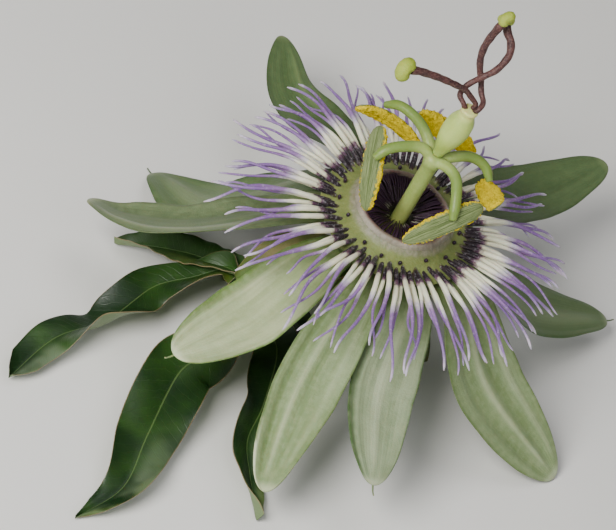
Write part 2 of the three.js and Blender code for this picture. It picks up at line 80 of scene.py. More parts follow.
# ---- where each piece goes
# A bearing is the compass angle, from +X towards +Y, at which a piece leaves the cup. A form is
# [width of the foot, place where it is widest, place where the end starts to round], as shares.
# Troughs are [place across, depth, width] of the channels that run down a tepal; one with a depth
# below 0 is a ridge. Troughs also get painted shade and ridges a painted highlight. curl, where
# given, lifts the right edge near the tip, and its lip gets a painted highlight. tone picks its
# finish: a copy of the colours painted lighter or darker for how brightly the tepal is lit.
PETALS = [
    dict(bearing=129, middle=[-22.7, 23.3, -12.2], tip=[-30, 36.8, -14], width=9,
         form=[0.79, 0.87, 0.3], roll=[0, -23, 0], troughs=[[-0.1, 0.3, 0.25], [0.5, -0.25, 0.12]],
         tone="shaded"),
    dict(bearing=201, middle=[-26.6, -12.8, -11], late=[-35.7, -14.1, -15.3], tip=[-41.9, -13.2, -16.8],
         width=10.3, form=[0.56, 0.5, 0.66], roll=[0, 17, 22, 30],
         troughs=[[0.35, 0.4, 0.4], [-0.6, -0.3, 0.2]], tone="middle"),
    dict(bearing=273, middle=[0.6, -28, -12.1], tip=[2.7, -44.8, -19], width=10.2,
         form=[0.48, 0.5, 0.44], roll=[0, 2, 32],
         troughs=[[0.6, 0.45, 0.16], [-0.1, 0.25, 0.1], [0.25, -0.25, 0.12], [-0.6, -0.15, 0.15]],
         curl=2, tone="light"),
    dict(bearing=345, middle=[23.9, -8.6, -13.2], tip=[40.8, -5.4, -26.6], width=12.9,
         form=[0.84, 0.42, 0.3], roll=[0, 22, 22],
         troughs=[[-0.28, 0.4, 0.16], [0.45, 0.3, 0.2], [0.05, -0.3, 0.1], [-0.6, -0.2, 0.12]],
         tone="light"),
    dict(bearing=57, middle=[16.8, 30.3, -10.3], tip=[24.8, 45.7, -11], width=10.9,
         form=[0.62, 0.44, 0.39], roll=[0, 4, 4], troughs=[[0.05, 0.3, 0.2]], tone="shaded"),
]
SEPALS = [
    dict(bearing=168, middle=[-25, -0.2, -18.3], tip=[-36.4, 8.1, -26.5], width=12,
         form=[0.46, 0.5, 0.41], roll=[0, -10, 14], troughs=[[0.1, -0.3, 0.35]], tone="shaded"),
    dict(bearing=237, middle=[-12, -25.3, -9.4], tip=[-18.7, -37.6, -11], width=11.7,
         form=[0.52, 0.5, 0.5], roll=[0, 8, -3], troughs=[[0.8, 0.35, 0.07], [0.66, -0.15, 0.05]],
         curl=0.6, tone="light"),
    dict(bearing=309, middle=[10.6, -23.5, -11.8], tip=[16.2, -35.6, -16], width=10.4,
         form=[0.56, 0.56, 0.45], roll=[0, 3, -3], troughs=[[0.05, -0.25, 0.2], [0.78, 0.3, 0.1]],
         tone="middle"),
    dict(bearing=21, middle=[24.3, 13, -16.1], tip=[37, 27, -23], width=9.8,
         form=[0.52, 0.55, 0.34], roll=[0, 16, 5], troughs=[[0.1, -0.25, 0.35]], tone="shaded"),
    dict(bearing=93, middle=[-0.8, 25, -15], tip=[-1.6, 35.8, -26.2], width=10,
         form=[0.66, 0.5, 0.62], roll=[0, 0, 0], troughs=[[0, 0.3, 0.2]], tone="shaded"),
]

# Stamens: the path of each stalk, the two ends of its anther, the way its pollen side looks and
# how far it bows sideways.
STAMENS = [
    dict(stalk=[[-2.3, -0.3, 14.6], [-4.8, -2, 14.6], [-6.7, -3.5, 13.8], [-7.7, -4.9, 12.3]],
         anther=[[-9.4, 1, 13.1], [-4.9, -10.1, 7.1]], facing=[0.5, 0.55, -0.65], bend=0.1, arch=0.5),
    dict(stalk=[[2.4, -0.8, 14.2], [4.3, -2.1, 14.2], [5.8, -4.7, 13], [6.9, -6.8, 11]],
         anther=[[2, -11.9, 7.2], [9.8, -1.8, 12]], facing=[-0.1, 0.75, -0.65], bend=0, arch=0.5),
    dict(stalk=[[2.8, 2.2, 14.3], [4.9, 3.6, 14.4], [7.2, 4.1, 13.6], [8.9, 3.2, 12.3]],
         anther=[[11.7, -2.5, 14], [8, 6.6, 8]], facing=[-0.6, -0.3, 0.6], bend=0, arch=0.5),
    dict(stalk=[[-2.6, 2.6, 14.5], [-5.4, 4.6, 14.7], [-8.3, 5.7, 14.2], [-10.3, 6, 12.6]],
         anther=[[-13.9, 3, 12.9], [-2.9, 8.2, 7.3]], facing=[0, -0.97, -0.25], bend=0, arch=1.3),
    dict(stalk=[[-0.3, 3.4, 14.4], [-0.4, 6.4, 14.3], [-0.3, 8.9, 13.4], [-0.2, 10.5, 12]],
         anther=[[-5.4, 8.3, 12.5], [5, 12.3, 7.6]], facing=[0, -0.7, 0.7], bend=-0.3, arch=0.5),
]

# The three styles cross over each other above the ovary. Each ends behind its stigma.
STYLES = [
    dict(path=[[1.2, 1.3, 25.95], [-0.1, 1.1, 27], [-1.2, 0.6, 28], [-2.9, -0.6, 29],
               [-5.3, -2.1, 30], [-7.1, -3.3, 30.6], [-8.4, -4.2, 31]],
         stigma=[-10.2, -5.6, 31.2], stretch=[0.1, 0.6, 1], size=3.9),
    dict(path=[[-0.5, 0.3, 25.9], [-1.4, 0.8, 26.3], [-1.6, 1.6, 26.8], [-1.3, 2.1, 27.6],
               [-0.7, 2.6, 28.6], [0.2, 3.1, 29.9], [1.2, 4.1, 31], [1.7, 5.4, 32],
               [1.8, 6.7, 33], [1.1, 8.1, 33.8], [0, 8.9, 34.4]],
         stigma=[-1.1, 9.9, 35.5], stretch=[1, 0.2, 0.3], size=2.6),
    dict(path=[[2, 0.7, 25.9], [2, 2.1, 26.3], [1, 3.3, 26.8], [0.1, 4.7, 27.6],
               [-0.9, 5.2, 29], [-1.6, 5.6, 30.6], [-1.9, 6.1, 32.4], [-1.8, 6.7, 34],
               [-1.6, 6.9, 35.4], [-1.5, 6.9, 36.2]],
         stigma=[-1.1, 7.6, 37.7], stretch=[0.4, 0.6, 0.8], size=2.8),
]

# The vine lies on the surface under the flower. The leaf and the flower leave it at its node.
VINE_RADIUS = 1.5
VINE = [[-19, -3.4, -25.8], [-12, 0.6, -25.8], [-6, 4, -25.8], [2, 8.6, -25.8], [11, 13, -25.8]]
PEDICEL = [[-6, 4, -25.5], [-1, 8.2, -23.6], [3.6, 7.4, -19.8], [2.8, 3, -15.2],
           [0.2, 0.2, -12.2], [0, 0, -9.9]]
PETIOLE = [[-6, 4, -25.4], [-8.6, -1.6, -23.2], [-11.8, -7.4, -19.2], [-13.8, -11, -16.7]]
BRACTS = [
    dict(bearing=221, droop=0, reach=1),
    dict(bearing=341, droop=7, reach=0.62),
    dict(bearing=101, droop=4, reach=0.8),
]

# Leaf lobes: the path of the midrib from the palm to the tip
PALM = [-14.4, -12.5, -15]
LOBES = [
    dict(path=[PALM, [-18.2, -10.8, -17.2], [-22.2, -13.4, -20], [-26.9, -17.4, -22.4],
               [-30, -26.4, -24], [-35.4, -33.8, -25.2], [-38.1, -44, -26.3]],
         width=7.5, roll=[0, 24, -3, 52, 2, 0], waves=2, swell=0.6, taper=0.75),
    dict(path=[PALM, [-14.6, -18, -18.6], [-15, -24.4, -21.4], [-16.9, -29.6, -23],
               [-16.2, -42, -24.4], [-15.4, -52, -25.7], [-19.1, -60.7, -26.8]],
         width=10.5, roll=[0, -3, 4, 7], waves=2.8, swell=1.1, taper=0.885),
    dict(path=[PALM, [-11.4, -14.4, -18.8], [-6, -15.8, -22], [-3.7, -24.8, -24.4],
               [-3.2, -31.8, -25.4], [-0.4, -37, -26], [4, -43.6, -26.6]],
         width=8, roll=[-2, 12, -23, -13], waves=2.1, swell=0.9, taper=0.88),
    dict(path=[PALM, [-20.7, -10.2, -18.4], [-24.5, -8.6, -21], [-29.9, -8.2, -24],
               [-35.6, -9.4, -26.2]],
         width=6.6, roll=[0, 0], waves=1.5, swell=0.5, taper=0.88),
    dict(path=[PALM, [-10.4, -10.6, -18.2], [-5.6, -9.2, -21.8], [-0.4, -9.2, -25], [5, -9.6, -26.4]],
         width=7, roll=[0, 0], waves=1.5, swell=0.4, taper=0.88),
]

# Camera and light, metres
CAMERA_PLACE = (-0.007006, -0.455707, 0.471347)
CAMERA_RIGHT = (0.8660, 0.35355, 0.35355)
CAMERA_UP = (-0.5, 0.61237, 0.61237)
CAMERA_BACK = (0.0, -0.70711, 0.70711)
CAMERA_LENS = 250
SENSOR_WIDTH = 36


# ---- curves and small formulas
def unit(vectors):
    return vectors / np.linalg.norm(vectors, axis=-1, keepdims=True)


def smooth(value):
    clipped = np.clip(value, 0, 1)
    return clipped * clipped * (3 - 2 * clipped)


def bump(value, middle, width):
    """A soft bell, 1 at middle and near 0 a few widths away."""
    return np.exp(-(((value - middle) / width) ** 2))


def circle(count):
    """Evenly spaced angles round a circle."""
    return np.linspace(0, 2 * np.pi, count, endpoint=False)


def closing(u, length, past=0.0, least=0.0):
    """1 along most of a piece, rounding to near 0 over the last length of it."""
    return np.sqrt(np.clip((1 + past - u) / length, least, 1))


def bumps(rings, scale, shift=0):
    """Noise at every point of some rings. shift moves it, so that no two pieces match."""
    away = Vector((shift, 0, 0))
    return np.array([[noise.noise(Vector(spot * scale) + away) for spot in row] for row in rings])


def along(values, u):
    """The value at place u, from 0 to 1, of a row of evenly spaced values with smooth turns."""
    values = np.array(values, float)
    spot = np.clip(u, 0, 0.999999) * (len(values) - 1)
    index = np.floor(spot).astype(int)
    return values[index] + (values[index + 1] - values[index]) * smooth(spot - index)


def from_bearing(degrees, radius, height):
    angle = np.radians(degrees)
    return [radius * np.cos(angle), radius * np.sin(angle), height]


class Draws:
    """A repeatable row of numbers from -1 to 1."""

    def __init__(self, seed):
        self.state = seed

    def __call__(self):
        self.state = (self.state * 1664525 + 1013904223) % 2**32
        return self.state / 2**31 - 1


class Path:
    """A smooth curve through points, walked by its own length from 0 to 1."""

    DIVISIONS = 200

    def __init__(self, points):
        points = np.array(points, float)
        before = 2 * points[0] - points[1]
        after = 2 * points[-1] - points[-2]
        self.points = np.vstack([before, points, after])
        self.times = np.linspace(0, 1, self.DIVISIONS + 1)
        steps = np.linalg.norm(np.diff(self.spot(self.times), axis=0), axis=1)
        self.lengths = np.concatenate([[0], np.cumsum(steps)])

    def spot(self, time):
        spans = len(self.points) - 3
        where = np.clip(np.asarray(time, float), 0, 1) * spans
        index = np.minimum(where.astype(int), spans - 1)
        w = (where - index)[..., None]
        a, b, c, d = (self.points[index + step] for step in range(4))
        leave, arrive = 0.5 * (c - a), 0.5 * (d - b)
        bend = 3 * (c - b) - 2 * leave - arrive
        twist = 2 * (b - c) + leave + arrive
        return b + leave * w + bend * w**2 + twist * w**3

    def time(self, u):
        return np.interp(np.asarray(u, float) * self.lengths[-1], self.lengths, self.times)

    def at(self, u):
        return self.spot(self.time(u))

    def heading(self, u):
        time, step = self.time(u), 1e-4
        return unit(self.spot(np.minimum(time + step, 1)) - self.spot(np.maximum(time - step, 0)))


# ---- bodies
class Body:
    """Points, faces and marks of a mesh. A mark is [across, along, extra] for the materials."""

    def __init__(self, points, faces, marks):
        self.points, self.faces, self.marks = points, faces, marks


def marks_of(across, run, extra):
    """Marks for a grid of points, from values that spread over its rows or its columns."""
    return np.stack(np.broadcast_arrays(across, run, extra), -1)


def rings_at(centre, side, across, normal, up):
    """A ring of points round each centre, from how far they lie across and up."""
    side, normal = np.atleast_2d(side)[:, None], np.atleast_2d(normal)[:, None]
    return centre[:, None] + side * across[..., None] + normal * up[..., None]


def loft(rings, marks):
    """Closes rings of points, one after another, into one body with a cap at both ends."""
    rows, around = rings.shape[:2]
    ids = np.arange(rows * around).reshape(rows, around)
    beside = np.roll(ids, -1, axis=1)
    faces = np.stack([ids[:-1], beside[:-1], beside[1:], ids[1:]], -1).reshape(-1, 4).tolist()
    points = [rings.reshape(-1, 3)]
    facts = [marks.reshape(-1, 3)]
    for end, row in enumerate((0, rows - 1)):
        middle = rows * around + end
        points.append(rings[row].mean(0)[None])
        facts.append(marks[row].mean(0)[None])
        for a, b in zip(ids[row], beside[row]):
            faces.append([b, a, middle] if end == 0 else [a, b, middle])
    return Body(np.vstack(points), faces, np.vstack(facts))


def joined(bodies):
    points, faces, marks, shift = [], [], [], 0
    for body in bodies:
        points.append(body.points)
        marks.append(body.marks)
        faces += [[corner + shift for corner in face] for face in body.faces]
        shift += len(body.points)
    return Body(np.vstack(points), faces, np.vstack(marks))


def blade(path, half_width, rise, roll, thickness, rows, around, tone=None):
    """A thin blade with rounded edges. Its half width depends on u, and how far it stands off its
    path on u and x, from -1 to 1 across it. tone, from -0.8 to 0.8, is painted shade and highlight:
    above 0 it darkens its upper face, below 0 it lightens it."""
    curve = Path(path)
    u = 1 - (1 - np.linspace(0, 1, rows + 1)) ** 1.5
    centre, forward = curve.at(u), curve.heading(u)
    across = unit(np.cross(curve.at(1) - curve.at(0), UP))
    side = unit(across - (forward @ across)[:, None] * forward)
    turn = np.radians(along(roll, u))[:, None]
    side = side * np.cos(turn) + np.cross(forward, side) * np.sin(turn)
    normal = np.cross(side, forward)
    angle = circle(around)[None, :]
    x = np.cos(angle) * np.ones((rows + 1, 1))
    skin = np.sign(np.sin(angle)) * np.abs(np.sin(angle)) ** 0.7
    spread = half_width(u)[:, None]
    end = np.maximum(closing(u, 0.02), 0.15)[:, None]
    lift = rise(u[:, None], x) + 0.5 * thickness * skin * end
    rings = rings_at(centre, side, spread * x, normal, lift)
    shading = 1 - 0.5 * tone(u[:, None], x) if tone else np.ones_like(x)
    return loft(rings, marks_of(x, u[:, None], np.sign(skin) * shading))


def rod(path, radius, sides, steps, extra=0.0, flat=1.0, ridges=0, ridge=0.0):
    """A round rod along a path, with radius(u)."""
    curve = Path(path)
    u = np.linspace(0, 1, steps + 1)
    return tube(curve.at(u), radius(u), sides, extra, flat, ridges, ridge)


def tube(centre, radius, sides, extra=0.0, flat=1.0, ridges=0, ridge=0.0):
    """A tube round a row of centres. Its frame is carried along without twisting."""
    forward = unit(np.gradient(centre, axis=0))
    first = UP if abs(forward[0] @ UP) < 0.9 else np.array([1.0, 0, 0])
    sides_of = []
    side = unit(np.cross(forward[0], first))
    for heading in forward:
        side = unit(side - (side @ heading) * heading)
        sides_of.append(side)
    side = np.array(sides_of)
    normal = np.cross(side, forward)
    angle = circle(sides)
    swell = radius[:, None] * (1 + ridge * np.cos(ridges * angle))
    rings = rings_at(centre, side, swell * np.cos(angle), normal, flat * swell * np.sin(angle))
    u = np.linspace(0, 1, len(centre))[:, None]
    return loft(rings, marks_of(angle / (2 * np.pi), u, float(extra)))


def turned(profile, segments, detail=6, waver=None):
    """A turned piece: [radius, height] points round +Z. Its marks hold the place along the profile."""
    corners = np.array([[radius, height, 0] for radius, height in profile], float)
    where = np.linspace(0, 1, detail * (len(corners) - 1) + 1)
    line = Path(corners).spot(where)
    radius, height = np.maximum(line[:, 0], 0.0005), line[:, 1]
    angle = circle(segments)
    reach = radius[:, None] * np.ones_like(angle)
    level = height[:, None] * np.ones_like(angle)
    if waver:
        reach, level = waver(where[:, None], angle[None, :], reach, level)
    rings = np.stack([reach * np.cos(angle), reach * np.sin(angle), level], -1)
    return loft(rings, marks_of(angle / (2 * np.pi), where[:, None], 0.0))


def ring_of(profile, segments, detail=6, waver=None):
    """As turned, for a profile that closes on itself and so has no caps."""
    body = turned(profile, segments, detail, waver)
    count = len(body.points) - 2 - segments
    faces = [[corner % count for corner in face] for face in body.faces if len(face) == 4]
    return Body(body.points[:count], faces, body.marks[:count])


def rest_on_surface(body):
    """Eases what would reach below the surface into a flat spot just above it."""
    margin = 0.3
    height = body.points[:, 2]
    low = height < FLOOR + margin
    height[low] = FLOOR + margin * np.exp((height[low] - FLOOR - margin) / margin)
    return body


# ---- pieces of the scene
def place(points):
    return (points + FLOWER_CENTRE) / 1000


def mesh_of(name, body):
    mesh = bpy.data.meshes.new(name)
    mesh.from_pydata(place(body.points).tolist(), [], body.faces)
    marks = mesh.attributes.new("marks", "FLOAT_VECTOR", "POINT")
    marks.data.foreach_set("vector", body.marks.astype(np.float32).ravel())
    finish_mesh(mesh)
    return mesh


def finish_mesh(mesh):
    work = bmesh.new()
    work.from_mesh(mesh)
    bmesh.ops.recalc_face_normals(work, faces=work.faces)
    work.to_mesh(mesh)
    work.free()
    mesh.shade_smooth()


def add_object(name, data):
    thing = bpy.data.objects.new(name, data)
    bpy.context.scene.collection.objects.link(thing)
    return thing


def piece(name, body, material, node=None):
    mesh = mesh_of(name, body) if isinstance(body, Body) else body
    thing = add_object(name, mesh)
    mesh.materials.clear()
    mesh.materials.append(material)
    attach(thing, "root")
    if node:
        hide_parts(node)


def fine(node, body, material):
    """The finer piece that stands for a node."""
    piece(node + "_fine", body, material, node)


def blended(name, bodies, voxel, smoothing):
    """One skin over several overlapping bodies, with soft joints between them."""
    thing = add_object(name + "_work", mesh_of(name + "_work", joined(bodies)))
    remesh = thing.modifiers.new("skin", "REMESH")
    remesh.mode = "VOXEL"
    remesh.voxel_size = voxel / 1000
    soften = thing.modifiers.new("soften", "SMOOTH")
    soften.factor = 0.5
    soften.iterations = smoothing
    shape = thing.evaluated_get(bpy.context.evaluated_depsgraph_get())
    mesh = bpy.data.meshes.new_from_object(shape)
    mesh.name = name
    bpy.data.objects.remove(thing)
    finish_mesh(mesh)
    return mesh


# ---- node helpers
def paint(colour):
    """A node's output as it is, or red, green and blue from 0 to 255 on screen as linear values."""
    if isinstance(colour, bpy.types.NodeSocket):
        return colour
    parts = (value / 255 for value in colour)
    return (*(part / 12.92 if part <= 0.04045 else ((part + 0.055) / 1.055) ** 2.4 for part in parts), 1.0)


class Desk:
    """Places nodes in one tree and links them. An input is a value or another node's output, and a
    colour is an output or red, green and blue from 0 to 255."""

    def __init__(self, tree):
        self.tree = tree

    def add(self, kind, inputs=None, **settings):
        node = self.tree.nodes.new(kind)
        for key, value in settings.items():
            setattr(node, key, value)
        for key, value in (inputs or {}).items():
            if isinstance(value, bpy.types.NodeSocket):
                self.tree.links.new(value, node.inputs[key])
            else:
                node.inputs[key].default_value = value
        return node

    def math(self, operation, a, b=0.0):
        return self.add("ShaderNodeMath", {0: a, 1: b}, operation=operation).outputs[0]

    def times(self, a, b):
        return self.math("MULTIPLY", a, b)

    def plus(self, a, b):
        return self.math("ADD", a, b)

    def minus(self, a, b):
        return self.math("SUBTRACT", a, b)

    def ramp(self, value, stops):
        """Runs through stops of (place, red, green, blue)."""
        node = self.add("ShaderNodeValToRGB", {0: value})
        elements = node.color_ramp.elements
        while len(elements) < len(stops):
            elements.new(0.5)
        for element, (where, *colour) in zip(elements, stops):
            element.position = where
            element.color = paint(colour)
        return node.outputs["Color"]

    def between(self, value, low, high):
        """0 below low, 1 above high and smooth from one to the other."""
        return self.add("ShaderNodeMapRange", {0: value, 1: low, 2: high},
                        interpolation_type="SMOOTHSTEP").outputs[0]

    def ranged(self, value, low, high):
        """From low to high as value goes from 0 to 1."""
        return self.add("ShaderNodeMapRange", {0: value, 3: low, 4: high}).outputs[0]

    def lanes(self, across, run, wide, long):
        """A place for noise that then lies in streaks along the piece."""
        place = {0: self.times(across, wide), 1: self.times(run, long)}
        return self.add("ShaderNodeCombineXYZ", place).outputs[0]

    def blend(self, share, first, second):
        inputs = {0: share, 6: paint(first), 7: paint(second)}
        return self.add("ShaderNodeMix", inputs, data_type="RGBA").outputs[2]

    def coats(self, colour, *layers):
        """Lays each (mask, strength, colour) in turn over the colour so far."""
        for mask, strength, top in layers:
            colour = self.blend(self.times(mask, strength), colour, top)
        return colour

    def marks(self):
        """The outputs across, along and extra of the mesh's own marks."""
        source = self.add("ShaderNodeAttribute", attribute_name="marks")
        return self.add("ShaderNodeSeparateXYZ", {0: source.outputs["Vector"]}).outputs

    def millimetres(self):
        source = self.add("ShaderNodeTexCoord")
        return self.add("ShaderNodeVectorMath", {0: source.outputs["Object"], "Scale": 1000.0},
                        operation="SCALE").outputs[0]

    def noise(self, scale, detail=3.0, roughness=0.55, where=None):
        inputs = {"Scale": scale, "Detail": detail, "Roughness": roughness}
        inputs["Vector"] = self.millimetres() if where is None else where
        return self.add("ShaderNodeTexNoise", inputs).outputs[0]

    def cells(self, scale, **settings):
        inputs = {"Vector": self.millimetres(), "Scale": scale}
        return self.add("ShaderNodeTexVoronoi", inputs, **settings).outputs["Distance"]


def group(name, inputs, fill):
    """A shader node group. fill(desk, inputs) gives {output name: socket}."""
    tree = bpy.data.node_groups.new(name, "ShaderNodeTree")
    for socket, value in inputs.items():
        given = tree.interface.new_socket(socket, in_out="INPUT", socket_type="NodeSocketFloat")
        given.default_value = value
    desk = Desk(tree)
    made = fill(desk, desk.add("NodeGroupInput").outputs)
    for socket in made:
        tree.interface.new_socket(socket, in_out="OUTPUT", socket_type="NodeSocketFloat")
    desk.add("NodeGroupOutput", made)
    return tree


def fill_patches(desk, given):
    """Broad soft patches and finer flecks, both from 0 to 1."""
    broad = desk.noise(given["Scale"], 2.0)
    finer = desk.noise(desk.times(given["Scale"], 9.0), 4.0, 0.6)
    return {"Broad": desk.between(broad, 0.35, 0.65), "Flecks": desk.between(finer, 0.4, 0.68)}


def fill_skin(desk, given):
    """The fine cell relief of plant skin, as a height."""
    cells = desk.cells(given["Scale"])
    grain = desk.noise(desk.times(given["Scale"], 0.5))
    return {"Height": desk.plus(desk.times(cells, 0.5), grain)}


def fill_veins(desk, given):
    """Fine lines that run lengthwise, a little wavering and broken."""
    across, _, _ = desk.marks()
    sway = desk.times(desk.noise(0.35, 1.0), given["Waver"])
    lane = desk.times(desk.plus(across, sway), given["Count"])
    wave = desk.math("ABSOLUTE", desk.math("SINE", lane))
    line = desk.between(wave, 0.35, 0.0)
    fade = desk.between(desk.noise(0.8, 2.0), 0.3, 0.6)
    return {"Lines": desk.times(line, fade), "Height": wave}


PATCHES = group("soft patches", {"Scale": 0.12}, fill_patches)
SKIN = group("plant skin", {"Scale": 6.0}, fill_skin)
VEINS = group("lengthwise veins", {"Count": 28.0, "Waver": 0.15}, fill_veins)


class Finish(Desk):
    """A material being made. done() joins colour, gloss and relief in its shader."""

    def __init__(self, name):
        self.material = bpy.data.materials.new(name)
        self.material.use_nodes = True
        super().__init__(self.material.node_tree)
        self.tree.nodes.clear()

    def use(self, tree, **inputs):
        return self.add("ShaderNodeGroup", inputs, node_tree=tree).outputs

    def patches(self, scale):
        """Masks of broad soft patches and of finer flecks."""
        made = self.use(PATCHES, Scale=scale)
        return made["Broad"], made["Flecks"]

    def skin(self, scale):
        """The relief of plant skin, as a height."""
        return self.use(SKIN, Scale=scale)["Height"]

    def done(self, colour, roughness, height, depth, specular=0.4, flesh=0.0, flesh_depth=0.001, sheen=0.0):
        """depth is the relief in millimetres, flesh how much light the skin lets through and
        flesh_depth how far, in metres."""
        relief = self.add("ShaderNodeBump", {"Height": height, "Distance": depth / 1000, "Strength": 1.0})
        shader = self.add("ShaderNodeBsdfPrincipled", {
            "Base Color": colour, "Roughness": roughness, "Normal": relief.outputs[0],
            "Specular IOR Level": specular, "Sheen Weight": sheen,
            "Subsurface Weight": flesh, "Subsurface Scale": flesh_depth,
        })
        self.add("ShaderNodeOutputMaterial", {"Surface": shader.outputs[0]})
        return self.material


# ---- finishes
def tepal_finish(name, face, edge, ridge, foot, edge_start):
    """Satin petal: face in the middle, edge along the rim, in patches and as painted shade in broad
    streaks and in the troughs, ridge in pale flecks and as a painted highlight on what stands proud,
    round the tip and on the curled lip, and foot where it leaves the cup and on the back."""
    f = Finish(name)
    # top is 1 on the upper face and below 0 on the back; troughs lower it, which paints shade, and ridges
    # and the curled lip raise it, which paints a highlight.
    across, run, top = f.marks()
    patches, flecks = f.patches(0.1)
    veins = f.use(VEINS, Count=26.0, Waver=0.06)
    # Broad soft streaks lengthwise, laid on in the edge colour: painted shade of shallow channels.
    broad = f.between(f.noise(1.5, 2.0, where=f.lanes(across, run, 2.4, 1.1)), 0.35, 0.65)
    right = f.between(across, edge_start, 1.0)
    left = f.between(across, -0.9, -1.0)
    colour = f.coats(
        face,
        (f.between(run, 0.5, 0.05), 0.7, foot),
        (broad, 0.3, edge),
        # Painted shade in the troughs and a painted highlight on the ridges.
        (f.between(top, 1.0, 0.62), 0.42, edge),
        (f.between(top, 1.0, 1.3), 0.5, ridge),
        (f.math("MAXIMUM", right, left), 1.0, edge),
        (patches, 0.2, edge),
        (flecks, 0.13, ridge),
        (veins["Lines"], 0.08, edge),
        # Painted highlights: a pale rim round the tip and along the curled lip.
        (f.between(run, 0.95, 0.99), 0.6, ridge),
        (f.between(top, 1.36, 1.44), 0.9, ridge),
        (f.between(top, 0.2, -0.2), 1.0, foot),
    )
    height = f.plus(f.skin(5.0), f.times(veins["Height"], 0.3))
    return f.done(colour, f.ranged(flecks, 0.44, 0.58), height, 0.05, 0.45, flesh=0.1, sheen=0.1)


def leaf_finish(name, dark, light, back, rim_colour):
    """Glossy leaf with a pale midrib, side veins, a thin pale rim and a painted sheen on one side towards
    each lobe's tip.
    """
    f = Finish(name)
    across, run, top = f.marks()
    patches, flecks = f.patches(0.09)
    distance = f.math("ABSOLUTE", across)
    lane = f.minus(f.times(run, 30.0), f.times(distance, 2.2))
    waver = f.times(f.noise(0.25, 2.0), 1.6)
    tooth = f.math("PINGPONG", f.plus(lane, waver), 0.5)
    side_vein = f.between(tooth, 0.07, 0.0)
    net_line = f.between(f.cells(1.1, feature="DISTANCE_TO_EDGE"), 0.06, 0.0)
    midrib = f.between(distance, 0.036, 0.01)
    rim = f.between(distance, 0.97, 0.99)
    # A pale patch on one side of each lobe, towards its tip, is a painted sheen.
    painted_sheen_side = f.times(f.between(across, 0.05, -0.5), f.between(run, 0.5, 0.85))
    sheen = f.times(painted_sheen_side, f.between(f.noise(0.16, 2.0), 0.3, 0.6))
    clouds = f.between(f.noise(0.12, 1.0), 0.45, 0.6)
    olive = f.times(f.between(across, -0.2, -0.8), clouds)
    colour = f.coats(
        f.blend(patches, dark, light),
        (flecks, 0.25, dark),
        (net_line, 0.08, light),
        (olive, 0.6, (88, 106, 40)),
        (sheen, 0.65, (108, 124, 96)),
        (side_vein, 0.06, (82, 112, 54)),
        (midrib, 0.45, (106, 132, 74)),
        (f.between(top, 0.2, -0.2), 1.0, back),
        (rim, 0.85, rim_colour),
    )
    sunk = f.plus(f.times(side_vein, -0.5), f.times(midrib, -1.2))
    height = f.plus(f.plus(sunk, f.times(net_line, -0.12)), f.times(f.skin(4.0), 0.4))
    return f.done(colour, f.ranged(flecks, 0.38, 0.5), height, 0.04, 0.45, flesh=0.05)


def filament_finish():
    """Dark purple at the root, then cream, then lilac and violet to a pale tip."""
    f = Finish("corona_filament")
    _, run, extra = f.marks()
    shift = f.times(extra, 0.035)
    rough_edge = f.times(f.minus(f.noise(1.6, 2.0), 0.5), 0.09)
    spot = f.plus(f.plus(run, shift), rough_edge)
    colour = f.ramp(spot, [
        (0.0, 112, 120, 64), (0.035, 56, 40, 30), (0.055, 28, 10, 20),
        (0.15, 26, 8, 24), (0.19, 94, 58, 84), (0.23, 216, 214, 186),
        (0.38, 234, 232, 208), (0.44, 196, 188, 200), (0.51, 142, 108, 162),
        (0.7, 120, 84, 148), (0.88, 140, 112, 166), (0.98, 200, 190, 208),
    ])
    stripe = f.noise(2.4)
    colour = f.coats(colour, (f.between(stripe, 0.52, 0.72), 0.25, (226, 220, 226)))
    height = f.plus(f.noise(4.0, 2.0), f.skin(7.0))
    return f.done(colour, 0.5, height, 0.05, flesh=0.1, flesh_depth=0.0006, sheen=0.1)


def banded_finish(name, stops, roughness, patch_colour, patch_share, skin, depth, **settings):
    """Colours that follow the piece's own length, with patches and plant skin over them."""
    f = Finish(name)
    _, run, _ = f.marks()
    wander = f.times(f.minus(f.noise(0.5, 2.0), 0.5), 0.08)
    colour = f.ramp(f.plus(run, wander), stops)
    patches, flecks = f.patches(0.3)
    colour = f.coats(
        colour,
        (patches, patch_share, patch_colour),
        (flecks, patch_share * 0.6, patch_colour),
    )
    return f.done(colour, roughness, f.skin(skin), depth, **settings)


def ring_finish():
    """Yellow-green ring with fine radial creases."""
    f = Finish("corona_ring")
    turn, run, _ = f.marks()
    creases = f.math("SINE", f.times(turn, 2 * math.pi * 60))
    patches, flecks = f.patches(0.35)
    colour = f.coats(
        (120, 130, 72),
        (patches, 0.5, (94, 108, 52)),
        (f.between(creases, 0.2, 1.0), 0.05, (156, 162, 106)),
        (flecks, 0.2, (150, 156, 112)),
    )
    mottle = f.noise(1.2)
    inner = f.between(f.plus(run, f.times(mottle, 0.06)), 0.67, 0.79)
    pale = f.blend(f.between(mottle, 0.3, 0.7), (122, 124, 92), (146, 142, 120))
    colour = f.blend(inner, colour, pale)
    height = f.plus(f.times(creases, 0.12), f.skin(4.0))
    return f.done(colour, 0.5, height, 0.05, flesh=0.1)


